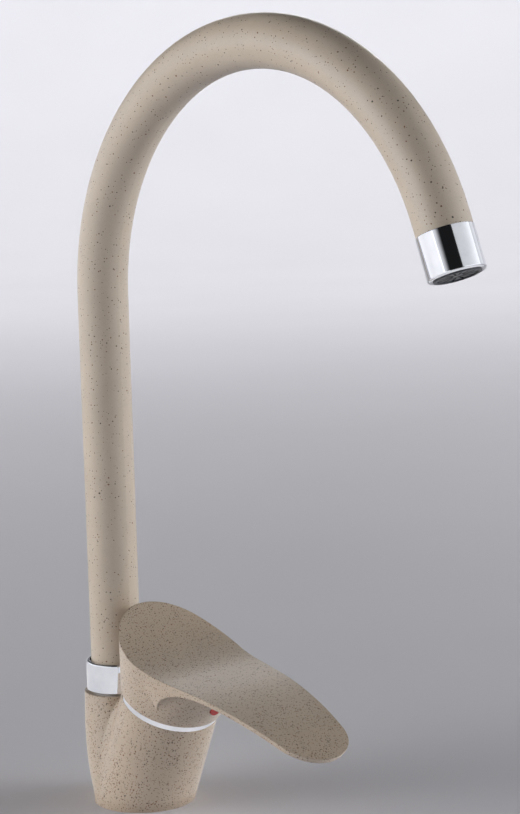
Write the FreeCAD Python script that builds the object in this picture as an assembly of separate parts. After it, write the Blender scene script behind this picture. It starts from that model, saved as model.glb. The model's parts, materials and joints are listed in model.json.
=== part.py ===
import FreeCAD, Part
import math
import os

# Single-lever kitchen mixer tap with a swivelling swan-neck spout.
# Millimetres. +X points to the front, where the spout reaches; +Y is to the
# left of the tap; +Z is up. The origin is the centre of the base on the deck.

V = FreeCAD.Vector
X_AXIS = V(1, 0, 0)
Y_AXIS = V(0, 1, 0)
Z_AXIS = V(0, 0, 1)
ORIGIN = V(0, 0, 0)

# Fits shared by all pieces
running_clearance = 0.05
thread_clearance = 0.08
free_gap = 0.35
mating_gap = 0.02

# Spout tube
tube_outer_r = 12.5
tube_wall = 2.0
spout_x = -19.6
spout_leg_top = 252.5
spout_bend_r = 120.0
spout_bend_deg = 159.0
spout_end_straight = 5.6

# Spout spigot, seals and swivel nut
spigot_r = 9.4
spigot_bore_r = 6.4
spigot_bottom_z = 26.0
spigot_plug_length = 9.0
spigot_flange_height = 2.0
o_ring_section_r = 0.9
o_ring_squeeze = 0.02
o_ring_heights = (28.8, 33.2)
slide_ring_height = 3.0
slide_ring_section = 1.6
slide_ring_z = 37.0
nut_outer_r = 15.1
nut_top_z = 68.5
nut_bottom_z = 53.7
nut_lip_gap = 1.0
nut_edge_r = 1.0
nut_skirt_r = 12.9
nut_skirt_length = 9.0
nut_floor = 2.2
snap_ring_width = 1.4
snap_ring_section = 1.6
snap_ring_drop = 1.2

# Body casting
base_r = 25.2
socket_r = 16.4
socket_z = 52.6
chamber_floor_z = 16.0
crease_top_r = 3.0
crease_growth_height = 16.0
crease_bottom_z = 5.0
crease_steps = 8
crease_bite = 0.12
crease_fit_deg = (105.0, 150.0)
slice_step = 0.01
rear_sections = ((-0.3, 0.0, 24.7), (-4.6, 8.0, 23.4), (-9.2, 16.0, 21.9), (-13.2, 25.0, 20.3),
                 (-16.1, 34.0, 18.9), (-17.9, 43.0, 17.7), (-19.6, 52.6, 16.4))

# Cartridge axis: ring plane centre and forward tilt
ring_x = 22.4
ring_z = 53.2
ring_tilt_deg = 23.9
ring_r = 24.3

# Cartridge pocket and cartridge, heights along the tilted axis from the ring plane
cartridge_r = 17.5
pocket_clearance = 0.1
cartridge_top = -5.0
neck_r = 14.0
neck_top = 2.0
rotor_r = 11.4
rotor_top = 8.0
rotor_flange_r = 13.4
rotor_flange_height = 2.6
rotor_bottom = -9.2
pivot_height = 4.0
pivot_pin_r = 1.5
stem_width = 8.0
stem_top = 25.0
stem_neck_r = 2.0
stem_ball_r = 3.2
lift_deg = 14.0
carrier_r = 10.0
carrier_height = 7.0
carrier_half_width = 7.5
carrier_tongue_width = 4.0
carrier_tongue_depth = 1.2
rotor_leg_length = 4.0
rotor_leg_rear = 6.0
rotor_leg_front = 8.0
disc_height = 3.4
moving_disc_r = 11.2
fixed_disc_r = 14.6
base_plate_height = 7.0
port_r = 3.0
outlet_port_u = -8.6
inlet_port_u = 3.4
inlet_port_v = 7.2
port_seal_r = 4.2
port_seal_height = 1.6
locating_pin_r = 1.8
locating_pin_length = 2.4
housing_wall = 1.5
retaining_nut_r = 20.3
retaining_nut_head_r = 22.3
retaining_nut_top = 3.2
thread_depth = 8.0

# Bright cover ring, part of a ball centred on the lever's pivot
cover_ball_r = 24.6
cover_top = 10.0
cover_wall = 1.2
cover_flange = 1.0

# Handle
skirt_rim_r = 25.5
skirt_rim_gap = 3.5
skirt_wall = 2.4
skirt_ball_gap = 0.3
roof_thickness = 3.5
relief_gap = 0.35
skirt_top_z = 40.0
skirt_top_half_length = 39.0
skirt_top_half_width = 34.0
skirt_top_offset = 0.8
valley_u = -2.0
valley_height = 29.9
valley_r = 90.0
back_slope_deg = 13.1
back_run = 30.0
ramp_deg = 14.9
ramp_length = 16.2
crown_r = 208.0
crown_end_deg = 12.0
paddle_tip_u = 107.8
paddle_tip_r = 19.2
paddle_taper_deg = 10.8
paddle_root_u = 5.0
paddle_root_half_width = 33.6
paddle_root_half_length = 39.5
paddle_outline_z = 40.0
paddle_draft_deg = 14.5
paddle_foot_draft_deg = 24.0
paddle_knee_z = 22.0
paddle_section_step = 9.0
paddle_sections_below = 3
paddle_sections_above = 3
paddle_side_lead = 10.0
paddle_side_tail = 60.0
paddle_thickness = 2.6
arch_foot_u = 15.0
arch_foot_z = 8.0
arch_rise = 14.0
arch_run_back = 21.5
arch_end_past_ramp = 13.5
boss_half_width = 8.5
boss_front_u = 12.0
boss_bottom = 12.0
grub_r = 2.5
grub_length = 7.0
grub_height = 17.0
grub_socket_r = 1.3
grub_socket_depth = 3.0
plug_r = 3.5
plug_length = 4.0
plug_proud = 0.3

# Nozzle and aerator
nozzle_outer_r = 12.8
nozzle_length = 19.5
nozzle_bore_r = 10.6
nozzle_edge_r = 1.0
nozzle_spigot_length = 8.0
nozzle_shoulder = 6.0
aerator_height = 8.5
aerator_proud = 0.5
aerator_slot_count = 12
aerator_slot_width = 1.0
aerator_hub_r = 2.2
aerator_rim = 1.4
aerator_floor = 1.6
screen_thickness = 0.6
screen_hole_r = 0.9
screen_hole_rings = (3.0, 6.2)
screen_hole_counts = (6, 12)
washer_height = 2.0
washer_hole_r = 7.0

# Inlets, base seal and deck fixing
inlet_x = 9.0
inlet_y = 7.0
inlet_thread_r = 4.5
inlet_thread_depth = 11.0
channel_r = 3.0
seal_groove_inner_r = 19.6
seal_groove_outer_r = 22.8
seal_groove_depth = 1.8
stud_x = -11.0
stud_r = 4.0
stud_length = 65.0
stud_insert = 9.5
deck_thickness = 30.0
gasket_height = 3.0
bracket_height = 2.5
bracket_r = 23.0
bracket_slot_r = 12.4
stud_hole_clearance = 0.4
fixing_nut_across = 13.0
fixing_nut_height = 10.0

tilt = math.radians(ring_tilt_deg)
ring_centre = V(ring_x, 0, ring_z)
axis_placement = FreeCAD.Placement(ring_centre, FreeCAD.Rotation(Y_AXIS, ring_tilt_deg))


def on_axis(shape):
    """Move a shape drawn on the cartridge axis (u, v, h) to its place."""
    moved = shape.copy()
    moved.Placement = axis_placement.multiply(moved.Placement)
    return moved


def axis_point(u, v, h):
    return axis_placement.multVec(V(u, v, h))


def cylinder(r, z0, z1, x=0.0, y=0.0):
    return Part.makeCylinder(r, z1 - z0, V(x, y, z0), Z_AXIS)


def rod(start, end, r):
    return Part.makeCylinder(r, (end - start).Length, start, end - start)


def box(x0, x1, y0, y1, z0, z1):
    return Part.makeBox(x1 - x0, y1 - y0, z1 - z0, V(x0, y0, z0))


def ring(outer, inner, z0, z1, x=0.0, y=0.0):
    return cylinder(outer, z0, z1, x, y).cut(cylinder(inner, z0 - 1, z1 + 1, x, y))


def hexagon(across, z0, z1, x=0.0, y=0.0):
    corner = across / math.sqrt(3)
    points = [V(x + corner * math.cos(math.radians(60 * k)), y + corner * math.sin(math.radians(60 * k)), z0)
              for k in range(7)]
    return Part.Face(Part.makePolygon(points)).extrude(V(0, 0, z1 - z0))


def circle_wire(r, centre, normal=Z_AXIS):
    return Part.Wire(Part.Circle(centre, normal, r).toShape())


def revolve(points):
    """Turn a closed outline of (radius, height) points round the Z axis."""
    outline = [V(r, 0, z) for r, z in points]
    face = Part.Face(Part.makePolygon(outline + [outline[0]]))
    return face.revolve(ORIGIN, Z_AXIS, 360)


def edges_at(shape, test):
    return [edge for edge in shape.Edges if test(edge)]


def export(node, shape):
    shape = shape.removeSplitter()
    solids = shape.Solids
    if len(solids) == 1:
        shape = solids[0]
    shape.exportStep("parts/%s.step" % node)
    print("%-24s solids %d volume %9.1f valid %s" % (node, len(solids), shape.Volume, shape.isValid()))


# Heights of the cartridge stack, from the pivot down to the pocket floor
carrier_top = rotor_bottom - running_clearance
lever_arm = pivot_height - carrier_top + carrier_height / 2
moving_disc_top = carrier_top - carrier_height
fixed_disc_top = moving_disc_top - disc_height
base_plate_top = fixed_disc_top - disc_height
pocket_floor = base_plate_top - base_plate_height - port_seal_height / 2
pocket_r = cartridge_r + pocket_clearance


def front_lobe_point(turn_deg, z):
    """Point of the leaning front lobe's wall at height z, on the line drawn at that turn."""
    turn = math.radians(turn_deg)
    foot = V(base_r * math.cos(turn), base_r * math.sin(turn), 0)
    head = axis_point(ring_r * math.cos(turn), ring_r * math.sin(turn), 0)
    return foot + (head - foot) * (z / head.z)


def front_lobe_circle(z):
    """Centre and radius of the circle that follows the front lobe beside the crease."""
    a, b = [front_lobe_point(turn_deg, z) for turn_deg in crease_fit_deg]
    centre = (a.x ** 2 + a.y ** 2 - b.x ** 2 - b.y ** 2) / (2 * (a.x - b.x))
    return centre, math.hypot(a.x - centre, a.y)


def crease_section(rear, z):
    """Outline at height z of the web that rounds the crease between the two lobes."""
    bounds = rear.slice(Z_AXIS, min(z, socket_z - slice_step))[0].BoundBox
    rear_x = (bounds.XMin + bounds.XMax) / 2
    rear_r = bounds.YLength / 2
    front_x, front_r = front_lobe_circle(z)
    fillet_r = crease_top_r * math.exp((socket_z - z) / crease_growth_height)
    span = front_x - rear_x
    along = (span ** 2 + (rear_r + fillet_r) ** 2 - (front_r + fillet_r) ** 2) / (2 * span)
    out = math.sqrt((rear_r + fillet_r) ** 2 - along ** 2)
    centre = V(rear_x + along, out, z)
    to_rear = (V(rear_x, 0, z) - centre).normalize()
    to_front = (V(front_x, 0, z) - centre).normalize()
    reach = fillet_r + crease_bite
    start = centre + to_rear * reach
    middle = centre + (to_rear + to_front).normalize() * reach
    end = centre + to_front * reach
    low_start, low_middle, low_end = [V(p.x, -p.y, z) for p in (start, middle, end)]
    return Part.Wire([
        Part.Arc(start, middle, end).toShape(),
        Part.LineSegment(end, low_end).toShape(),
        Part.Arc(low_end, low_middle, low_start).toShape(),
        Part.LineSegment(low_start, start).toShape()])


def crease_web(rear):
    step = (socket_z - crease_bottom_z) / crease_steps
    heights = [crease_bottom_z + step * k for k in range(crease_steps)] + [socket_z]
    return Part.makeLoft([crease_section(rear, z) for z in heights], True, False)


def make_body():
    ring_axis = V(math.sin(tilt), 0, math.cos(tilt))
    front = Part.makeLoft([circle_wire(base_r, ORIGIN), circle_wire(ring_r, ring_centre, ring_axis)], True, True)
    rear = Part.makeLoft([circle_wire(r, V(x, 0, z)) for x, z, r in rear_sections], True, False)
    body = front.fuse(rear).fuse(crease_web(rear))
    nut_pocket_r = nut_skirt_r + thread_clearance
    nut_pocket_z = nut_bottom_z - nut_skirt_length - 1.0
    body = body.cut(cylinder(spigot_r + running_clearance, chamber_floor_z, socket_z + 1, spout_x))
    body = body.cut(cylinder(nut_pocket_r, nut_pocket_z, socket_z + 1, spout_x))
    body = body.cut(on_axis(cylinder(pocket_r, pocket_floor, 1)))
    body = body.cut(on_axis(cylinder(retaining_nut_r + thread_clearance, -thread_depth, 1)))
    for side in (1, -1):
        inlet_top = V(inlet_x, side * inlet_y, inlet_thread_depth)
        inlet_port = axis_point(inlet_port_u, side * inlet_port_v, pocket_floor)
        body = body.cut(cylinder(inlet_thread_r, -1, inlet_thread_depth, inlet_x, side * inlet_y))
        body = body.cut(rod(inlet_top - V(0, 0, 1), inlet_port + (inlet_port - inlet_top) * 0.1, channel_r))
    outlet_port = axis_point(outlet_port_u, 0, pocket_floor)
    chamber = V(spout_x + spigot_r / 2, 0, (chamber_floor_z + spigot_bottom_z) / 2 - 0.5)
    body = body.cut(rod(chamber, outlet_port + (outlet_port - chamber) * 0.15, channel_r))
    for side in (1, -1):
        pin_hole = cylinder(locating_pin_r + thread_clearance, pocket_floor - locating_pin_length - 0.3,
                            pocket_floor + 1, 0, side * (cartridge_r - 2 * locating_pin_r))
        body = body.cut(on_axis(pin_hole))
    body = body.cut(cylinder(stud_r + mating_gap, -1, stud_insert + 0.5, stud_x))
    groove = ring(seal_groove_outer_r, seal_groove_inner_r, -1, seal_groove_depth)
    return body.cut(groove)


def make_base_seal():
    return ring(seal_groove_outer_r - thread_clearance, seal_groove_inner_r + thread_clearance, 0, seal_groove_depth)


def make_swivel_nut():
    inner_r = tube_outer_r + nut_lip_gap
    spigot_hole_r = spigot_r + running_clearance
    floor_z = nut_bottom_z + nut_floor
    bottom = nut_bottom_z - nut_skirt_length
    nut = cylinder(nut_outer_r, nut_bottom_z, nut_top_z)
    top_edges = edges_at(nut, lambda e: e.BoundBox.ZMin > nut_top_z - 0.01 and e.BoundBox.XLength > nut_outer_r)
    nut = nut.makeFillet(nut_edge_r, top_edges)
    nut = nut.fuse(cylinder(nut_skirt_r, bottom, nut_bottom_z + 0.5))
    nut = nut.cut(cylinder(inner_r, floor_z, nut_top_z + 1))
    nut = nut.cut(cylinder(spigot_hole_r, bottom - 1, floor_z + 1))
    relief_r = spigot_r + snap_ring_section / 2 + free_gap
    nut = nut.cut(cylinder(relief_r, bottom - 1, bottom + snap_ring_drop + snap_ring_width))
    nut.translate(V(spout_x, 0, 0))
    return nut


def snap_ring_z():
    return nut_bottom_z - nut_skirt_length + snap_ring_drop


def make_spigot():
    floor_z = nut_bottom_z + nut_floor
    flange_z0 = floor_z + mating_gap
    flange_z1 = flange_z0 + spigot_flange_height
    plug_r_here = tube_outer_r - tube_wall - mating_gap
    spigot = cylinder(spigot_r, spigot_bottom_z, flange_z0 + 0.5)
    spigot = spigot.fuse(cylinder(tube_outer_r, flange_z0, flange_z1))
    spigot = spigot.fuse(cylinder(plug_r_here, flange_z1 - 0.5, flange_z1 + spigot_plug_length))
    spigot = spigot.cut(cylinder(spigot_bore_r, spigot_bottom_z - 1, flange_z1 + spigot_plug_length + 1))
    for z in o_ring_heights:
        spigot = spigot.cut(ring(spigot_r + 1, spigot_r + running_clearance - 2 * o_ring_section_r,
                                 z - 1.15 * o_ring_section_r, z + 1.15 * o_ring_section_r))
    spigot = spigot.cut(ring(spigot_r + 1, spigot_r - slide_ring_section,
                             slide_ring_z, slide_ring_z + slide_ring_height))
    snap_z = snap_ring_z()
    spigot = spigot.cut(ring(spigot_r + 1, spigot_r - snap_ring_section / 2, snap_z, snap_z + snap_ring_width))
    spigot.translate(V(spout_x, 0, 0))
    return spigot


def make_o_ring(z):
    centre_r = spigot_r + running_clearance - o_ring_squeeze - o_ring_section_r
    return Part.makeTorus(centre_r, o_ring_section_r - 0.01, V(spout_x, 0, z), Z_AXIS)


def make_slide_ring():
    body = ring(spigot_r + running_clearance / 2, spigot_r - slide_ring_section + 0.02,
                slide_ring_z + 0.05, slide_ring_z + slide_ring_height - 0.05)
    split = box(0, spigot_r + 2, -0.4, 0.4, slide_ring_z - 1, slide_ring_z + slide_ring_height + 1)
    body = body.cut(split)
    body.translate(V(spout_x, 0, 0))
    return body


def make_snap_ring():
    z = snap_ring_z()
    body = ring(spigot_r + snap_ring_section / 2, spigot_r - snap_ring_section / 2 + 0.02,
                z + 0.05, z + snap_ring_width - 0.05)
    split = box(0, spigot_r + 2, -1.0, 1.0, z - 1, z + snap_ring_width + 1)
    body = body.cut(split)
    body.translate(V(spout_x, 0, 0))
    return body


def tube_bottom_z():
    return nut_bottom_z + nut_floor + mating_gap + spigot_flange_height


def spout_end():
    """Point and direction where the tube's bend and its short straight end finish."""
    turn = math.radians(spout_bend_deg)
    direction = V(math.sin(turn), 0, math.cos(turn))
    bend_end = V(spout_x + spout_bend_r * (1 - math.cos(turn)), 0, spout_leg_top + spout_bend_r * math.sin(turn))
    return bend_end + direction * spout_end_straight, direction


def make_spout_tube():
    """Straight leg, toroidal bend and straight end, each one solid ring section."""
    inner_r = tube_outer_r - tube_wall
    end, direction = spout_end()
    bend_end = end - direction * spout_end_straight
    leg = ring(tube_outer_r, inner_r, tube_bottom_z(), spout_leg_top, spout_x)
    section = Part.Face([circle_wire(tube_outer_r, V(spout_x, 0, spout_leg_top)),
                         circle_wire(inner_r, V(spout_x, 0, spout_leg_top))])
    bend_centre = V(spout_x + spout_bend_r, 0, spout_leg_top)
    bend = section.revolve(bend_centre, Y_AXIS, spout_bend_deg)
    straight = rod(bend_end, end, tube_outer_r).cut(rod(bend_end - direction, end + direction, inner_r))
    return leg.fuse([bend, straight])


def at_spout_end(shape):
    """Place a shape drawn along +Z, from z = 0 at the tube's end face outwards."""
    end, direction = spout_end()
    moved = shape.copy()
    moved.Placement = FreeCAD.Placement(end, FreeCAD.Rotation(Z_AXIS, direction))
    return moved


def make_nozzle():
    inner_tube_r = tube_outer_r - tube_wall
    nozzle = cylinder(nozzle_outer_r, mating_gap, nozzle_length)
    rim = edges_at(nozzle, lambda e: e.BoundBox.ZMin > nozzle_length - 0.01 and e.BoundBox.XLength > nozzle_outer_r)
    nozzle = nozzle.makeFillet(nozzle_edge_r, rim)
    nozzle = nozzle.fuse(cylinder(inner_tube_r - mating_gap, -nozzle_spigot_length, 1))
    nozzle = nozzle.cut(cylinder(nozzle_bore_r, nozzle_shoulder, nozzle_length + 1))
    return nozzle.cut(cylinder(washer_hole_r, -nozzle_spigot_length - 1, nozzle_length + 1))


def aerator_levels():
    washer = (nozzle_shoulder, nozzle_shoulder + washer_height)
    screen = (washer[1], washer[1] + screen_thickness)
    return washer, screen, (screen[1], nozzle_length + aerator_proud)


def make_aerator_washer():
    z0, z1 = aerator_levels()[0]
    return ring(nozzle_bore_r - thread_clearance, washer_hole_r, z0 + mating_gap, z1)


def make_aerator_screen():
    z0, z1 = aerator_levels()[1]
    screen = cylinder(nozzle_bore_r - thread_clearance, z0 + mating_gap, z1)
    for radius, count in zip(screen_hole_rings, screen_hole_counts):
        for k in range(count):
            turn = 2 * math.pi * k / count
            screen = screen.cut(cylinder(screen_hole_r, z0 - 1, z1 + 1,
                                         radius * math.cos(turn), radius * math.sin(turn)))
    return screen


def make_aerator_cage():
    """Cup whose floor, at the outlet, is cut by radial slots round a hub."""
    z0, z1 = aerator_levels()[2]
    outer = nozzle_bore_r - thread_clearance
    cage = cylinder(outer, z0 + mating_gap, z1)
    cage = cage.cut(cylinder(outer - aerator_rim, z0 - 1, z1 - aerator_floor - aerator_proud))
    for k in range(aerator_slot_count):
        slot = box(aerator_hub_r, outer - aerator_rim, -aerator_slot_width / 2, aerator_slot_width / 2, z0, z1 + 1)
        slot.rotate(ORIGIN, Z_AXIS, 360.0 * k / aerator_slot_count)
        cage = cage.cut(slot)
    recess = cylinder(outer - aerator_rim, z1 - aerator_proud, z1 + 1)
    return cage.cut(recess)


def make_housing():
    """Cartridge casing: a cup open below, with a neck round the rotor."""
    flange_top = rotor_bottom + rotor_flange_height
    housing = cylinder(cartridge_r, base_plate_top, cartridge_top)
    housing = housing.fuse(cylinder(neck_r, cartridge_top - 0.5, neck_top))
    housing = housing.cut(cylinder(rotor_r + running_clearance, flange_top - 1, neck_top + 1))
    housing = housing.cut(cylinder(rotor_flange_r + free_gap, rotor_bottom - 1, flange_top + running_clearance))
    return housing.cut(cylinder(cartridge_r - housing_wall, base_plate_top - 1, rotor_bottom))


def make_base_plate():
    bottom = base_plate_top - base_plate_height
    plate = cylinder(cartridge_r, bottom, base_plate_top)
    plate = plate.cut(cylinder(port_r, bottom - 1, base_plate_top + 1, outlet_port_u))
    for side in (1, -1):
        plate = plate.cut(cylinder(port_r, bottom - 1, base_plate_top + 1, inlet_port_u, side * inlet_port_v))
        plate = plate.fuse(cylinder(locating_pin_r, bottom - port_seal_height / 2 - locating_pin_length, bottom + 1,
                                    0, side * (cartridge_r - 2 * locating_pin_r)))
    for u, v in seal_places():
        plate = plate.cut(cylinder(port_seal_r, bottom - 1, bottom + port_seal_height / 2, u, v))
    return plate


def seal_places():
    return ((outlet_port_u, 0), (inlet_port_u, inlet_port_v), (inlet_port_u, -inlet_port_v))


def make_port_seals():
    bottom = base_plate_top - base_plate_height
    seals = [ring(port_seal_r - thread_clearance, port_r, bottom - port_seal_height / 2,
                  bottom + port_seal_height / 2, u, v) for u, v in seal_places()]
    return Part.makeCompound(seals)


def make_fixed_disc():
    disc = cylinder(fixed_disc_r, base_plate_top, fixed_disc_top)
    disc = disc.cut(cylinder(port_r, base_plate_top - 1, fixed_disc_top + 1, outlet_port_u))
    for side in (1, -1):
        disc = disc.cut(cylinder(port_r, base_plate_top - 1, fixed_disc_top + 1, inlet_port_u, side * inlet_port_v))
    return disc


def make_disc_collar():
    """Plastic ring that centres the fixed disc inside the casing."""
    inner = fixed_disc_r + thread_clearance
    return ring(cartridge_r - housing_wall - mating_gap, inner, base_plate_top, fixed_disc_top)


def carrier_tongue(clearance):
    half = carrier_tongue_width / 2 + clearance
    return box(-half, half, -moving_disc_r - 1, moving_disc_r + 1,
               moving_disc_top - carrier_tongue_depth - clearance, moving_disc_top + 1)


def make_moving_disc():
    """Ceramic disc with a mixing chamber hollowed in its lower face."""
    disc = cylinder(moving_disc_r, fixed_disc_top + mating_gap, moving_disc_top)
    chamber = cylinder(port_r + 0.8, fixed_disc_top - 1, fixed_disc_top + disc_height * 0.5, outlet_port_u * 0.62)
    return disc.cut(chamber).cut(carrier_tongue(mating_gap))


def make_carrier():
    """Driver block: keyed into the moving disc, guided by the rotor, pushed by the ball end."""
    carrier = cylinder(carrier_r, moving_disc_top + mating_gap, carrier_top)
    sides = box(-carrier_r, carrier_r, -carrier_half_width, carrier_half_width, moving_disc_top, carrier_top)
    carrier = carrier.common(sides)
    tongue = carrier_tongue(0).common(cylinder(carrier_r, moving_disc_top - 5, moving_disc_top + 1))
    carrier = carrier.fuse(tongue)
    hole_r = stem_ball_r + running_clearance
    return carrier.cut(cylinder(hole_r, moving_disc_top + mating_gap, carrier_top + 1))


def make_rotor():
    """Turret turning in the neck, with a slot for the stem and legs that guide the carrier."""
    rotor = cylinder(rotor_r, rotor_bottom, rotor_top)
    rotor = rotor.fuse(cylinder(rotor_flange_r, rotor_bottom, rotor_bottom + rotor_flange_height))
    leg_z = rotor_bottom - rotor_leg_length
    leg_inner = carrier_half_width + running_clearance
    for side in (1, -1):
        leg = box(-rotor_leg_rear, rotor_leg_front, leg_inner, carrier_r + 2, leg_z, rotor_bottom + 1)
        leg = leg.common(cylinder(rotor_flange_r, leg_z, rotor_bottom + 1))
        if side < 0:
            leg = leg.mirror(ORIGIN, Y_AXIS)
        rotor = rotor.fuse(leg)
    lean = math.tan(math.radians(lift_deg))
    half = stem_width / 2 + free_gap
    front = stem_ball_r + (pivot_height - rotor_bottom) * lean + 2 * free_gap
    back = half + (rotor_top - pivot_height) * lean + free_gap
    slot = box(-back, max(front, back), -half, half, rotor_bottom - 1, rotor_top + 1)
    rotor = rotor.cut(slot)
    return rotor.cut(rod(V(0, -rotor_r - 1, pivot_height), V(0, rotor_r + 1, pivot_height), pivot_pin_r))


def make_pivot_pin():
    end = rotor_r - free_gap
    return rod(V(0, -end, pivot_height), V(0, end, pivot_height), pivot_pin_r)


def make_stem():
    """Square lever spindle on the pivot pin, with a round neck and a ball end."""
    half = stem_width / 2
    shoulder = pivot_height - half
    stem = box(-half, half, -half, half, shoulder, stem_top)
    ball_z = pivot_height - lever_arm
    stem = stem.fuse(cylinder(stem_neck_r, ball_z, shoulder + 0.5))
    stem = stem.fuse(Part.makeSphere(stem_ball_r, V(0, 0, ball_z)))
    hole_r = pivot_pin_r + running_clearance
    return stem.cut(rod(V(0, -stem_width, pivot_height), V(0, stem_width, pivot_height), hole_r))


def make_retaining_nut():
    """Threaded ring that presses the cartridge down; its head holds the cover ring."""
    nut = cylinder(retaining_nut_r, cartridge_top, retaining_nut_top)
    nut = nut.fuse(cylinder(retaining_nut_head_r, cover_flange + running_clearance, retaining_nut_top))
    nut = nut.cut(cylinder(neck_r + free_gap, cartridge_top - 1, retaining_nut_top + 1))
    return nut.cut(hexagon(2 * (neck_r + 2.2), retaining_nut_top - 4.0, retaining_nut_top + 1))


def cover_radius(h):
    return math.sqrt(cover_ball_r ** 2 - (h - pivot_height) ** 2)


def make_cover_ring():
    """Bright zone of a ball round the pivot, with a flange that sits on the body."""
    inner_r = cover_radius(cover_top) - cover_wall
    foot = V(cover_radius(0), 0, 0)
    middle = V(cover_ball_r, 0, pivot_height)
    top = V(cover_radius(cover_top), 0, cover_top)
    inner_top = V(inner_r, 0, cover_top)
    inner_step = V(inner_r, 0, cover_flange)
    flange_top = V(retaining_nut_r + thread_clearance, 0, cover_flange)
    flange_foot = V(retaining_nut_r + thread_clearance, 0, 0)
    edges = [
        Part.Arc(foot, middle, top).toShape(),
        Part.LineSegment(top, inner_top).toShape(),
        Part.LineSegment(inner_top, inner_step).toShape(),
        Part.LineSegment(inner_step, flange_top).toShape(),
        Part.LineSegment(flange_top, flange_foot).toShape(),
        Part.LineSegment(flange_foot, foot).toShape()]
    return Part.Face(Part.Wire(edges)).revolve(ORIGIN, Z_AXIS, 360)


def handle_profile(drop, low):
    """Face in the plane v = 0 below the handle's top line, set down by drop, to height low."""
    valley_centre = V(valley_u, 0, valley_height + valley_r)
    back = math.radians(back_slope_deg)
    ramp = math.radians(ramp_deg)
    radius = valley_r + drop
    back_point = valley_centre + V(-math.sin(back), 0, -math.cos(back)) * radius
    valley_point = valley_centre - V(0, 0, radius)
    ramp_start = valley_centre + V(math.sin(ramp), 0, -math.cos(ramp)) * radius
    ramp_end = ramp_start + V(math.cos(ramp), 0, math.sin(ramp)) * ramp_length
    crown_radius = crown_r - drop
    crown_centre = ramp_end + V(math.sin(ramp), 0, -math.cos(ramp)) * crown_radius
    crown_point = crown_centre + V(0, 0, crown_radius)
    end_turn = math.radians(crown_end_deg)
    end_point = crown_centre + V(math.sin(end_turn), 0, math.cos(end_turn)) * crown_radius
    rear_point = back_point + V(-math.cos(back), 0, math.sin(back)) * back_run
    edges = [
        Part.LineSegment(rear_point, back_point).toShape(),
        Part.Arc(back_point, valley_point, ramp_start).toShape(),
        Part.LineSegment(ramp_start, ramp_end).toShape(),
        Part.Arc(ramp_end, crown_point, end_point).toShape(),
        Part.LineSegment(end_point, V(end_point.x, 0, low)).toShape(),
        Part.LineSegment(V(end_point.x, 0, low), V(rear_point.x, 0, low)).toShape(),
        Part.LineSegment(V(rear_point.x, 0, low), rear_point).toShape()]
    return Part.Face(Part.Wire(edges)), ramp_start, ramp_end, crown_centre


def across(face, half_width):
    """Extrude a face in the plane v = 0 to both sides."""
    placed = face.copy()
    placed.translate(V(0, -half_width, 0))
    return placed.extrude(V(0, 2 * half_width, 0))


def paddle_outline(inset, z):
    """Plan outline of the paddle at height z, drawn in by inset."""
    half_width = paddle_root_half_width - inset
    half_length = paddle_root_half_length - inset
    tip_r = paddle_tip_r - inset
    taper = math.radians(paddle_taper_deg)
    tip_centre_u = paddle_tip_u - paddle_tip_r
    tangent_u = tip_centre_u + tip_r * math.sin(taper)
    tangent_v = tip_r * math.cos(taper)
    rear = Part.Ellipse(V(paddle_root_u, 0, z), half_length, half_width)
    rear_arc = Part.Arc(rear, math.pi / 2, 3 * math.pi / 2).toShape()
    tip_arc = Part.Arc(V(tangent_u, -tangent_v, z), V(tip_centre_u + tip_r, 0, z), V(tangent_u, tangent_v, z)).toShape()
    sides = []
    for side in (1, -1):
        curve = Part.BezierCurve()
        curve.setPoles([
            V(paddle_root_u, side * half_width, z),
            V(paddle_root_u + paddle_side_lead, side * half_width, z),
            V(tangent_u - paddle_side_tail * math.cos(taper), side * (tangent_v + paddle_side_tail * math.sin(taper)), z),
            V(tangent_u, side * tangent_v, z)])
        sides.append(curve.toShape())
    return Part.Wire(Part.__sortEdges__([rear_arc, sides[1], tip_arc, sides[0]]))


def paddle_inset(z):
    """How far the paddle's wall lies inside its plan outline at height z."""
    below_knee = max(paddle_knee_z - z, 0)
    above_knee = paddle_outline_z - max(z, paddle_knee_z)
    return (above_knee * math.tan(math.radians(paddle_draft_deg))
            + below_knee * math.tan(math.radians(paddle_foot_draft_deg)))


def paddle_blank():
    heights = [paddle_knee_z + paddle_section_step * k
               for k in range(-paddle_sections_below, paddle_sections_above + 1)]
    return Part.makeLoft([paddle_outline(paddle_inset(z), z) for z in heights], True, False)


def skirt_cone(rim_r, half_length, half_width, z0):
    """Flared skirt from a round rim to an oval top section."""
    oval = Part.Ellipse(V(skirt_top_offset, 0, skirt_top_z), half_length, half_width)
    return Part.makeLoft([circle_wire(rim_r, V(0, 0, z0)), Part.Wire(oval.toShape())], True, True)


def underside_cutter():
    """Space under the paddle: an arch that rises steeply beside the skirt and runs out along the top line."""
    face, ramp_start, ramp_end, crown_centre = handle_profile(paddle_thickness, 0)
    crown_radius = crown_r - paddle_thickness

    def crown_point(turn):
        return crown_centre + V(math.sin(turn), 0, math.cos(turn)) * crown_radius

    ramp = math.radians(ramp_deg)
    joint_turn = arch_end_past_ramp / crown_radius - ramp
    tip_turn = math.radians(crown_end_deg)
    joint = crown_point(joint_turn)
    along = V(math.cos(joint_turn), 0, -math.sin(joint_turn))
    foot = V(arch_foot_u, 0, arch_foot_z)
    below = foot - V(0, 0, arch_foot_z + paddle_outline_z)
    tip = crown_point(tip_turn)
    arch = Part.BezierCurve()
    arch.setPoles([foot, foot + V(0, 0, arch_rise), joint - along * arch_run_back, joint])
    edges = [
        arch.toShape(),
        Part.Arc(joint, crown_point((joint_turn + tip_turn) / 2), tip).toShape(),
        Part.LineSegment(tip, V(tip.x, 0, below.z)).toShape(),
        Part.LineSegment(V(tip.x, 0, below.z), below).toShape(),
        Part.LineSegment(below, foot).toShape()]
    return Part.Face(Part.Wire(edges))


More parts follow.
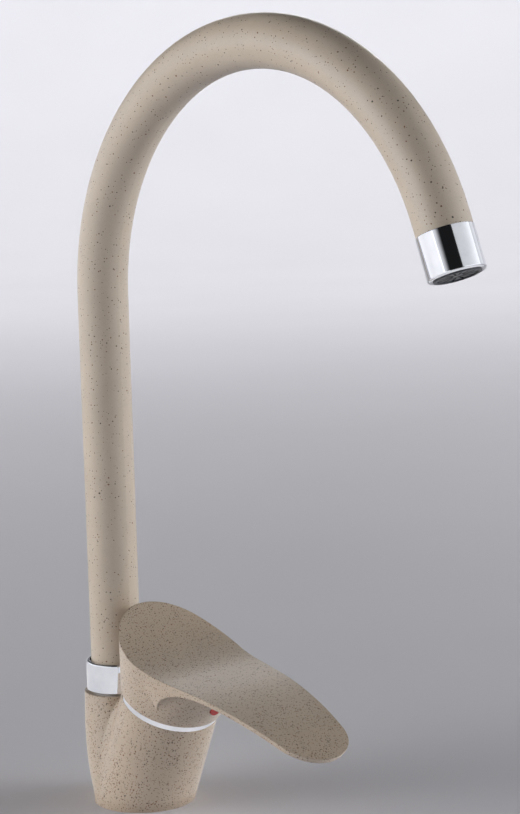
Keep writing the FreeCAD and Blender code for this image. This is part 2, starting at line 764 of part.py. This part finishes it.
def handle_blank():
    """Skirt and paddle under one curved top line, before hollowing."""
    half_span = paddle_root_half_width + paddle_outline_z
    skirt = skirt_cone(skirt_rim_r, skirt_top_half_length, skirt_top_half_width, skirt_rim_gap)
    paddle = paddle_blank().cut(across(underside_cutter(), half_span))
    paddle = paddle.cut(box(-paddle_tip_u, paddle_tip_u, -half_span, half_span, -paddle_outline_z, skirt_rim_gap))
    return skirt.fuse(paddle).common(across(handle_profile(0, -paddle_outline_z)[0], half_span))


def rear_relief():
    """Space that the skirt's rear edge needs over the body when the lever is lifted."""
    lean = math.radians(lift_deg)
    level = pivot_height + (relief_gap - pivot_height) / math.cos(lean)
    span = paddle_tip_u
    points = [V(u, -span, level - u * math.tan(lean)) for u in (-span, span)]
    low = [V(span, -span, -2 * span), V(-span, -span, -2 * span)]
    return Part.Face(Part.makePolygon(points + low + points[:1])).extrude(V(0, 2 * span, 0))


def handle_hollow():
    ball = Part.makeSphere(cover_ball_r + skirt_ball_gap, V(0, 0, pivot_height))
    cone = skirt_cone(skirt_rim_r - skirt_wall, skirt_top_half_length - skirt_wall,
                      skirt_top_half_width - skirt_wall, skirt_rim_gap)
    roof = across(handle_profile(roof_thickness, -paddle_outline_z)[0], paddle_tip_u)
    return ball.fuse(cone).common(roof)


def skirt_front_u(h):
    share = (h - skirt_rim_gap) / (skirt_top_z - skirt_rim_gap)
    return skirt_rim_r + share * (skirt_top_half_length + skirt_top_offset - skirt_rim_r)


def make_handle():
    below_top = across(handle_profile(roof_thickness / 2, -paddle_outline_z)[0], paddle_tip_u)
    handle = handle_blank().cut(handle_hollow()).cut(rear_relief())
    boss = box(-boss_half_width, boss_front_u, -boss_half_width, boss_half_width, boss_bottom, skirt_top_z)
    handle = handle.fuse(boss.common(below_top))
    socket = stem_width / 2 + mating_gap
    handle = handle.cut(box(-socket, socket, -socket, socket, 0, stem_top + free_gap))
    handle = handle.cut(rod(V(0, 0, grub_height), V(boss_front_u + 1, 0, grub_height), grub_r + mating_gap))
    return handle.cut(rod(V(boss_front_u, 0, grub_height), V(paddle_tip_u, 0, grub_height), plug_r + mating_gap))


def make_grub_screw():
    start = V(stem_width / 2, 0, grub_height)
    end = start + V(grub_length, 0, 0)
    screw = rod(start, end, grub_r)
    key = hexagon(2 * grub_socket_r, 0, grub_socket_depth + 1)
    key.rotate(ORIGIN, Y_AXIS, 90)
    key.translate(end - V(grub_socket_depth, 0, 0))
    return screw.cut(key)


def make_indicator_plug():
    """Short coloured plug whose end stands just proud of the skirt."""
    end = V(skirt_front_u(grub_height) + plug_proud, 0, grub_height)
    plug = rod(end - V(plug_length, 0, 0), end, plug_r)
    face_edge = edges_at(plug, lambda e: e.BoundBox.XMin > end.x - 0.01 and e.BoundBox.YLength > plug_r)
    return plug.makeFillet(plug_proud, face_edge)


def make_fixing_stud():
    return cylinder(stud_r, stud_insert - stud_length, stud_insert, stud_x)


def horseshoe(z0, z1):
    """Round plate with a hole for the stud and a wide slot for the two hoses."""
    plate = cylinder(bracket_r, z0, z1)
    plate = plate.cut(cylinder(bracket_slot_r, z0 - 1, z1 + 1, inlet_x))
    plate = plate.cut(box(inlet_x, bracket_r + 1, -bracket_slot_r, bracket_slot_r, z0 - 1, z1 + 1))
    return plate.cut(cylinder(stud_r + stud_hole_clearance, z0 - 1, z1 + 1, stud_x))


def make_gasket():
    return horseshoe(-deck_thickness - gasket_height, -deck_thickness)


def make_bracket():
    top = -deck_thickness - gasket_height
    return horseshoe(top - bracket_height, top)


def make_fixing_nut():
    top = -deck_thickness - gasket_height - bracket_height
    nut = hexagon(fixing_nut_across, top - fixing_nut_height, top, stud_x)
    return nut.cut(cylinder(stud_r + mating_gap, top - fixing_nut_height - 1, top + 1, stud_x))


os.makedirs("parts", exist_ok=True)
export("body_casting", make_body())
export("base_seal", make_base_seal())
export("swivel_nut", make_swivel_nut())
export("spout_spigot", make_spigot())
export("spout_o_ring_lower", make_o_ring(o_ring_heights[0]))
export("spout_o_ring_upper", make_o_ring(o_ring_heights[1]))
export("spout_slide_ring", make_slide_ring())
export("spout_snap_ring", make_snap_ring())
export("spout_tube", make_spout_tube())
export("nozzle_housing", at_spout_end(make_nozzle()))
export("aerator_washer", at_spout_end(make_aerator_washer()))
export("aerator_screen", at_spout_end(make_aerator_screen()))
export("aerator_cage", at_spout_end(make_aerator_cage()))
export("cartridge_housing", on_axis(make_housing()))
export("cartridge_base", on_axis(make_base_plate()))
export("port_seals", on_axis(make_port_seals()))
export("fixed_disc", on_axis(make_fixed_disc()))
export("disc_collar", on_axis(make_disc_collar()))
export("moving_disc", on_axis(make_moving_disc()))
export("disc_carrier", on_axis(make_carrier()))
export("cartridge_rotor", on_axis(make_rotor()))
export("pivot_pin", on_axis(make_pivot_pin()))
export("lever_stem", on_axis(make_stem()))
export("retaining_nut", on_axis(make_retaining_nut()))
export("cover_ring", on_axis(make_cover_ring()))
export("handle", on_axis(make_handle()))
export("handle_grub_screw", on_axis(make_grub_screw()))
export("indicator_plug", on_axis(make_indicator_plug()))
export("fixing_stud", make_fixing_stud())
export("horseshoe_gasket", make_gasket())
export("horseshoe_washer", make_bracket())
export("fixing_nut", make_fixing_nut())
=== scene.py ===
import bpy
import json
import math
from collections import namedtuple
from mathutils import Matrix, Vector

# Kitchen mixer tap with a sand-coloured speckled coating and bright trim.
# The frame holds every shape of the tap. This script gives each piece its material, and adds
# the floor, the lights and the camera. Lengths are in metres.
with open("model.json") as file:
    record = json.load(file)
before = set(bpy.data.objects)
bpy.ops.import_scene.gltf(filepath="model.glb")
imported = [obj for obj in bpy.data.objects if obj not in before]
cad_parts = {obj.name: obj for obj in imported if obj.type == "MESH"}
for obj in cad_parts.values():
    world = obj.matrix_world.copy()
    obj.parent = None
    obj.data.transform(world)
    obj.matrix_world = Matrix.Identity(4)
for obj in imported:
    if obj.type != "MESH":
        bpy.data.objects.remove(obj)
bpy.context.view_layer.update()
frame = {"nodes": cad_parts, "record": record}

MM = 0.001

# The photograph's camera. Its azimuth is its direction from the tap, turned from -Y toward +X.
CAMERA_AZIMUTH = math.radians(48.566)
CAMERA_ELEVATION = math.radians(7.930)
CAMERA_ROLL = math.radians(-1.567)
CAMERA_PLACE = (0.8868, -0.6987, 0.3533)
CAMERA_LENS_MM = 102.6
CAMERA_SENSOR_MM = 36.0
CAMERA_CLIP_START = 0.05

# Level directions that the lights are placed by: from the tap to the camera, and to the
# right as the camera sees it.
TOWARD_CAMERA = Vector((math.sin(CAMERA_AZIMUTH), -math.cos(CAMERA_AZIMUTH), 0))
SIDEWAYS = Vector((math.cos(CAMERA_AZIMUTH), math.sin(CAMERA_AZIMUTH), 0))


# Colours

def srgb(r, g, b):
    """Linear colour from 0-255 display values."""
    def lin(c):
        c = c / 255
        return c / 12.92 if c <= 0.04045 else ((c + 0.055) / 1.055) ** 2.4
    return (lin(r), lin(g), lin(b), 1.0)


def shade(color, factor):
    """The same colour made darker or lighter by a factor on its light."""
    return tuple(min(1.0, c * factor) for c in color[:3]) + (1.0,)


# Node helpers

class Tree:
    """Adds and links the nodes of one node tree. A value is a number, a tuple or a node's output."""

    def __init__(self, tree):
        self.tree = tree

    def add(self, kind):
        return self.tree.nodes.new("ShaderNode" + kind)

    def put(self, socket, value):
        if isinstance(value, bpy.types.NodeSocket):
            self.tree.links.new(value, socket)
        else:
            socket.default_value = value

    def calc(self, operation, a, b=0.0):
        node = self.add("Math")
        node.operation = operation
        self.put(node.inputs[0], a)
        self.put(node.inputs[1], b)
        return node.outputs[0]

    def vector_node(self, operation, a):
        node = self.add("VectorMath")
        node.operation = operation
        self.put(node.inputs[0], a)
        return node

    def vector(self, operation, a, b):
        node = self.vector_node(operation, a)
        self.put(node.inputs[1], b)
        return node.outputs["Vector"]

    def scaled(self, a, factor):
        node = self.vector_node("SCALE", a)
        self.put(node.inputs["Scale"], factor)
        return node.outputs["Vector"]

    def dot(self, a, b):
        node = self.vector_node("DOT_PRODUCT", a)
        self.put(node.inputs[1], b)
        return node.outputs["Value"]

    def ramp(self, value, low, high, out_low=0.0, out_high=1.0, interpolation="LINEAR"):
        """Map a value from low..high to out_low..out_high, and hold it there past both ends."""
        node = self.add("MapRange")
        node.interpolation_type = interpolation
        self.put(node.inputs["Value"], value)
        self.put(node.inputs["From Min"], low)
        self.put(node.inputs["From Max"], high)
        self.put(node.inputs["To Min"], out_low)
        self.put(node.inputs["To Max"], out_high)
        return node.outputs["Result"]


class Surface(Tree):
    """A material with one principled shader, patterned in object space."""

    SOCKETS = {"color": "Base Color", "roughness": "Roughness", "metallic": "Metallic",
               "specular": "Specular IOR Level", "anisotropic": "Anisotropic", "coat": "Coat Weight",
               "coat_roughness": "Coat Roughness", "normal": "Normal"}

    def __init__(self, name):
        self.material = bpy.data.materials.new(name)
        self.material.use_nodes = True
        super().__init__(self.material.node_tree)
        self.tree.nodes.clear()
        output = self.add("OutputMaterial")
        self.shader = self.add("BsdfPrincipled")
        self.put(output.inputs["Surface"], self.shader.outputs["BSDF"])
        self.coords = self.add("TexCoord").outputs["Object"]

    def set(self, **values):
        for key, value in values.items():
            self.put(self.shader.inputs[self.SOCKETS[key]], value)

    def noise_node(self, scale, detail, rough):
        node = self.add("TexNoise")
        self.put(node.inputs["Vector"], self.coords)
        self.put(node.inputs["Scale"], scale)
        self.put(node.inputs["Detail"], detail)
        self.put(node.inputs["Roughness"], rough)
        return node

    def noise(self, scale, detail=3.0, rough=0.5):
        """Cloudy pattern with about scale features per metre."""
        return self.noise_node(scale, detail, rough).outputs["Fac"]

    def cells(self, scale, coords):
        """Distance to the nearest cell's centre, in cells, and three random values of that cell."""
        node = self.add("TexVoronoi")
        self.put(node.inputs["Vector"], coords)
        self.put(node.inputs["Scale"], scale)
        split = self.add("SeparateColor")
        self.put(split.inputs["Color"], node.outputs["Color"])
        return node.outputs["Distance"], [split.outputs[name] for name in ("Red", "Green", "Blue")]

    def mix(self, factor, a, b):
        node = self.add("Mix")
        node.data_type = "RGBA"
        self.put(node.inputs["Factor"], factor)
        self.put(node.inputs["A"], a)
        self.put(node.inputs["B"], b)
        return node.outputs["Result"]

    def mottle(self, pattern, a, b):
        """Colour that drifts from a to b over the range that most of a noise pattern keeps to."""
        return self.mix(self.ramp(pattern, 0.3, 0.7), a, b)

    def warp(self, scale, amount):
        """Object coordinates pushed about by a noise, so that round cells get ragged edges."""
        push = self.noise_node(scale, detail=2.0, rough=0.5).outputs["Color"]
        centred = self.vector("SUBTRACT", push, (0.5, 0.5, 0.5))
        return self.vector("ADD", self.coords, self.scaled(centred, amount))

    def bevel(self, radius):
        """Normal that rounds the edges by that radius."""
        node = self.add("Bevel")
        node.samples = 6
        self.put(node.inputs["Radius"], radius)
        return node.outputs["Normal"]

    def bump(self, height, distance, strength, normal):
        node = self.add("Bump")
        self.put(node.inputs["Height"], height)
        self.put(node.inputs["Distance"], distance)
        self.put(node.inputs["Strength"], strength)
        self.put(node.inputs["Normal"], normal)
        return node.outputs["Normal"]


# Materials

# Specks of one size: distance between cells, largest radius, and the share of cells that hold one.
Specks = namedtuple("Specks", "spacing radius share")

# How far the two speck patterns are shifted, so that they don't repeat each other.
FINE_SHIFT = 3.1
COARSE_SHIFT = 7.7

SAND = srgb(150, 124, 98)
RUST = srgb(108, 54, 20)
UMBER = srgb(36, 24, 11)
INK = srgb(24, 17, 9)


def speck_mask(n, specks, shift):
    """Ragged dots of one size, and a random value of each dot for its tone."""
    bites_per_cell = 1.1
    bite_depth = 0.22
    smallest_share = 0.3
    soft_edge = 0.07
    warped = n.warp(bites_per_cell / specks.spacing, specks.spacing * bite_depth)
    shifted = n.vector("ADD", warped, (shift, shift * 0.7, shift * 0.3))
    distance, (chance, size, tone) = n.cells(1 / specks.spacing, shifted)
    largest = specks.radius / specks.spacing
    radius = n.ramp(size, 0.0, 1.0, largest * smallest_share, largest)
    dot = n.ramp(n.calc("SUBTRACT", radius, distance), 0.0, soft_edge)
    return n.calc("MULTIPLY", dot, n.calc("LESS_THAN", chance, specks.share)), tone


def coating(name, ground, fine_specks, coarse_specks, roughness):
    """Satin stone-effect coating: a clouded, sandy ground with fine and coarse dark specks."""
    sand_cover = 0.22
    fine_cover = 0.98
    coarse_cover = 0.96
    n = Surface(name)
    cloud = n.noise(45, detail=4.0, rough=0.6)
    color = n.mottle(cloud, shade(ground, 0.94), shade(ground, 1.04))
    sand = n.noise(2200, detail=2.0, rough=0.6)
    color = n.mix(n.ramp(sand, 0.35, 0.75, 0.0, sand_cover), color, SAND)
    fine, fine_tone = speck_mask(n, fine_specks, FINE_SHIFT)
    coarse, coarse_tone = speck_mask(n, coarse_specks, COARSE_SHIFT)
    color = n.mix(n.calc("MULTIPLY", fine, fine_cover), color,
                  n.mix(n.ramp(fine_tone, 0.2, 0.8), RUST, UMBER))
    color = n.mix(n.calc("MULTIPLY", coarse, coarse_cover), color,
                  n.mix(n.ramp(coarse_tone, 0.3, 0.8), RUST, INK))
    grain = n.noise(1400, rough=0.55)
    n.set(color=color,
          roughness=n.ramp(n.noise(220), 0.3, 0.7, roughness - 0.04, roughness + 0.05),
          specular=0.5, coat=0.22, coat_roughness=0.26,
          normal=n.bump(grain, distance=0.02 * MM, strength=0.30, normal=n.bevel(0.7 * MM)))
    return n.material


def chrome():
    """Bright plate with faint smears."""
    n = Surface("chrome_plate")
    smear = n.noise(90, detail=4.0, rough=0.6)
    ripple = n.noise(900, detail=2.0)
    n.set(color=n.mottle(smear, srgb(222, 224, 229), srgb(236, 237, 241)),
          metallic=1.0,
          roughness=n.ramp(smear, 0.35, 0.75, 0.03, 0.065),
          normal=n.bump(ripple, distance=0.002 * MM, strength=0.12, normal=n.bevel(0.35 * MM)))
    return n.material


def machined_metal(name, color, roughness, grain_size):
    """Machined metal with a fine grain and a slight stain."""
    n = Surface(name)
    grain = n.noise(1 / grain_size, rough=0.6)
    n.set(color=n.mottle(n.noise(120), shade(color, 0.82), color),
          metallic=1.0,
          anisotropic=0.4,
          roughness=n.ramp(grain, 0.3, 0.7, roughness - 0.06, roughness + 0.08),
          normal=n.bump(grain, distance=0.01 * MM, strength=0.3, normal=n.bevel(0.25 * MM)))
    return n.material


def moulded(name, color, roughness):
    """Moulded plastic, rubber or ceramic with a fine skin texture."""
    n = Surface(name)
    skin = n.noise(1500, rough=0.6)
    blotch = n.noise(150, detail=2.0)
    n.set(color=n.mottle(blotch, shade(color, 0.85), color),
          roughness=n.ramp(blotch, 0.3, 0.7, roughness - 0.05, roughness + 0.05),
          normal=n.bump(skin, distance=0.01 * MM, strength=0.25, normal=n.bevel(0.2 * MM)))
    return n.material


def dress_tap():
    """Give each piece the material of its slot in the record."""
    materials = {
        "coating": coating("stone_coating", srgb(189, 173, 154),
                           Specks(spacing=0.85 * MM, radius=0.32 * MM, share=0.92),
                           Specks(spacing=1.50 * MM, radius=0.47 * MM, share=0.90), 0.38),
        "spout_coating": coating("spout_stone_coating", srgb(196, 183, 166),
                                 Specks(spacing=1.6 * MM, radius=0.39 * MM, share=0.86),
                                 Specks(spacing=3.0 * MM, radius=0.58 * MM, share=0.64), 0.35),
        "chrome": chrome(),
        "brass": machined_metal("machined_brass", srgb(204, 168, 104), 0.30, 0.4 * MM),
        "steel": machined_metal("stainless_steel", srgb(176, 176, 178), 0.28, 0.3 * MM),
        "zinc_steel": machined_metal("zinc_plated_steel", srgb(188, 190, 194), 0.34, 0.5 * MM),
        "rubber": moulded("black_rubber", srgb(26, 26, 27), 0.62),
        "grey_plastic": moulded("dark_grey_plastic", srgb(62, 64, 69), 0.42),
        "white_plastic": moulded("white_plastic", srgb(226, 225, 219), 0.38),
        "ceramic": moulded("lapped_ceramic", srgb(236, 232, 222), 0.16),
        "red_plastic": moulded("red_plastic", srgb(176, 14, 11), 0.18),
    }
    for entry in frame["record"]["subparts"]:
        mesh = frame["nodes"][entry["node"]].data
        mesh.materials.clear()
        mesh.materials.append(materials[entry["material_slot"]])


# Floor

def studio_floor():
    """Pale floor that curves up far away on every side, so that no horizon shows."""
    flat_radii = (0.6, 1.6)
    curve_start = 3.2
    curve_radius = 2.4
    curve_degrees = 55
    degree_step = 5
    segments = 96
    rings = [(radius, 0.0) for radius in flat_radii]
    for degrees in range(0, curve_degrees + 1, degree_step):
        angle = math.radians(degrees)
        rings.append((curve_start + curve_radius * math.sin(angle), curve_radius * (1 - math.cos(angle))))
    vertices = [(0.0, 0.0, 0.0)]
    for radius, height in rings:
        for k in range(segments):
            angle = 2 * math.pi * k / segments
            vertices.append((radius * math.cos(angle), radius * math.sin(angle), height))
    faces = [(0, 1 + k, 1 + (k + 1) % segments) for k in range(segments)]
    for ring in range(len(rings) - 1):
        first = 1 + ring * segments
        for k in range(segments):
            here = first + k
            beside = first + (k + 1) % segments
            faces.append((here, here + segments, beside + segments, beside))
    mesh = bpy.data.meshes.new("studio_floor")
    mesh.from_pydata(vertices, [], faces)
    for polygon in mesh.polygons:
        polygon.use_smooth = True
    floor = bpy.data.objects.new("studio_floor", mesh)
    bpy.context.scene.collection.objects.link(floor)
    n = Surface("studio_floor_paint")
    n.set(color=n.mix(n.noise(3.0, detail=2.0), srgb(219, 218, 223), srgb(225, 224, 229)),
          roughness=1.0, specular=0.0)
    mesh.materials.append(n.material)


# Lights

# What a softbox does: it lights surfaces, it only shows in their gloss, or both.
LIGHTS_AND_SHOWS = "both"
ONLY_LIGHTS = "lights"
ONLY_SHOWS = "shows"

WHITE = (1.0, 1.0, 1.0)


def light_tent():
    """Surroundings that are white low down at both sides, and dim in front, behind and overhead."""
    side_level = 0.94
    overhead_level = 0.05
    front_level = 0.012
    behind_level = 0.18
    world = bpy.data.worlds.new("studio_world")
    bpy.context.scene.world = world
    world.use_nodes = True
    n = Tree(world.node_tree)
    direction = n.add("TexCoord").outputs["Generated"]

    def fade(value, start, end, from_level, to_level):
        """Smooth change of level between two angles in degrees."""
        return n.ramp(value, math.radians(start), math.radians(end), from_level, to_level, "SMOOTHSTEP")

    # Turn is 0 toward the camera and grows to the right, height is 0 at the horizon.
    turn = n.calc("ARCTAN2", n.dot(direction, SIDEWAYS), n.dot(direction, TOWARD_CAMERA))
    height = n.calc("ARCSINE", n.dot(direction, Vector((0, 0, 1))))
    sides = n.calc("ADD", fade(turn, -54, -28, 1.0, 0.0), fade(turn, 12, 40, 0.0, 1.0))
    low_down = fade(height, 12, 36, side_level, overhead_level)
    level = n.calc("MAXIMUM", n.calc("MULTIPLY", sides, low_down), front_level)
    behind = fade(n.calc("ABSOLUTE", turn), 124, 156, 1.0, behind_level)
    background = world.node_tree.nodes["Background"]
    n.put(background.inputs["Color"], (0.95, 0.96, 1.0, 1))
    n.put(background.inputs["Strength"], n.calc("MULTIPLY", level, behind))


def softbox(name, place, aim, size, power, color=WHITE, spread=180, seen=LIGHTS_AND_SHOWS):
    """Area light of that width and height, power in watts and spread in degrees.

    Its place is a distance toward the camera, one to the right and a height. Its aim is a
    point in the frame, or None for one that lies flat and faces up.
    """
    forward, aside, height = place
    light = bpy.data.lights.new(name, "AREA")
    light.shape = "RECTANGLE"
    light.size, light.size_y = size
    light.energy = power
    light.spread = math.radians(spread)
    light.color = color
    lamp = bpy.data.objects.new(name, light)
    lamp.location = TOWARD_CAMERA * forward + SIDEWAYS * aside + Vector((0, 0, height))
    if aim is None:
        lamp.rotation_euler = (math.pi, 0, CAMERA_AZIMUTH)
    else:
        lamp.rotation_euler = (Vector(aim) - lamp.location).to_track_quat("-Z", "Y").to_euler()
    lamp.visible_diffuse = seen != ONLY_SHOWS
    lamp.visible_glossy = seen != ONLY_LIGHTS
    lamp.visible_camera = False
    bpy.context.scene.collection.objects.link(lamp)


def side_softboxes():
    """The two lights that model the tap's form, one at each side."""
    narrow_spread = 70
    tap_middle = (0.05, 0, 0.20)
    size = (2.3, 0.60)
    softbox("left_softbox", place=(0.42, -2.08, 0.56), aim=tap_middle, size=size, power=8.2,
            color=(1.0, 0.99, 0.98), spread=narrow_spread, seen=ONLY_LIGHTS)
    softbox("right_softbox", place=(0.04, 2.10, 0.56), aim=tap_middle, size=size, power=7.7,
            color=(0.98, 0.99, 1.0), spread=narrow_spread, seen=ONLY_LIGHTS)


def reflections():
    """What the coating and the chrome mirror, behind the tap, on the floor and at each side."""
    left_height = 0.235
    behind_tap = TOWARD_CAMERA * -0.19
    softbox("back_softbox", place=(-1.50, 0.20, 0.78), aim=(0.05, 0, 0.12), size=(0.7, 0.20),
            power=1.7, seen=ONLY_SHOWS)
    softbox("floor_reflector", place=(0.50, 0.0, 0.004), aim=None, size=(2.2, 1.5),
            power=4.9, seen=ONLY_SHOWS)
    softbox("left_reflector", place=(0.05, -0.90, left_height),
            aim=(behind_tap.x, behind_tap.y, left_height), size=(3.2, 0.46),
            power=3.3, seen=ONLY_SHOWS)
    softbox("right_reflector", place=(0.58, 1.20, 1.15), aim=(0.15, 0, 0.30), size=(2.3, 1.8),
            power=8.0, color=(0.96, 0.98, 1.0), seen=ONLY_SHOWS)


def wall_lights():
    """Light on the raised rim of the floor, which is the background wherever a view sees it."""
    distance = 2.1
    height = 3.2
    aim_distance = 5.0
    aim_height = 1.4
    # Each wall's direction, toward the camera and to the right, and its light's power.
    walls = {"back": (-1, 0, 160), "front": (1, 0, 40), "left": (0, -1, 60), "right": (0, 1, 60)}
    for name, (forward, aside, power) in walls.items():
        aim = (TOWARD_CAMERA * forward + SIDEWAYS * aside) * aim_distance
        softbox(name + "_wall_light", place=(distance * forward, distance * aside, height),
                aim=(aim.x, aim.y, aim_height), size=(3.4, 1.2), power=power, color=(0.99, 0.99, 1.0))


# Camera

def photo_camera():
    """Camera that stands and looks as the photograph's did."""
    data = bpy.data.cameras.new("photo_camera")
    data.sensor_width = CAMERA_SENSOR_MM
    data.lens = CAMERA_LENS_MM
    data.clip_start = CAMERA_CLIP_START
    camera = bpy.data.objects.new("photo_camera", data)
    level = math.cos(CAMERA_ELEVATION)
    back = Vector((math.sin(CAMERA_AZIMUTH) * level, -math.cos(CAMERA_AZIMUTH) * level,
                   math.sin(CAMERA_ELEVATION)))
    up = back.cross(SIDEWAYS)
    across = SIDEWAYS * math.cos(CAMERA_ROLL) + up * math.sin(CAMERA_ROLL)
    above = up * math.cos(CAMERA_ROLL) - SIDEWAYS * math.sin(CAMERA_ROLL)
    turned = Matrix((across, above, back)).transposed().to_4x4()
    camera.matrix_world = Matrix.Translation(CAMERA_PLACE) @ turned
    bpy.context.scene.collection.objects.link(camera)
    bpy.context.scene.camera = camera


def plain_colours():
    """Show light as it is, with no film curve over it."""
    bpy.context.scene.view_settings.view_transform = "Standard"
    bpy.context.scene.view_settings.look = "None"


dress_tap()
studio_floor()
light_tent()
side_softboxes()
reflections()
wall_lights()
photo_camera()
plain_colours()
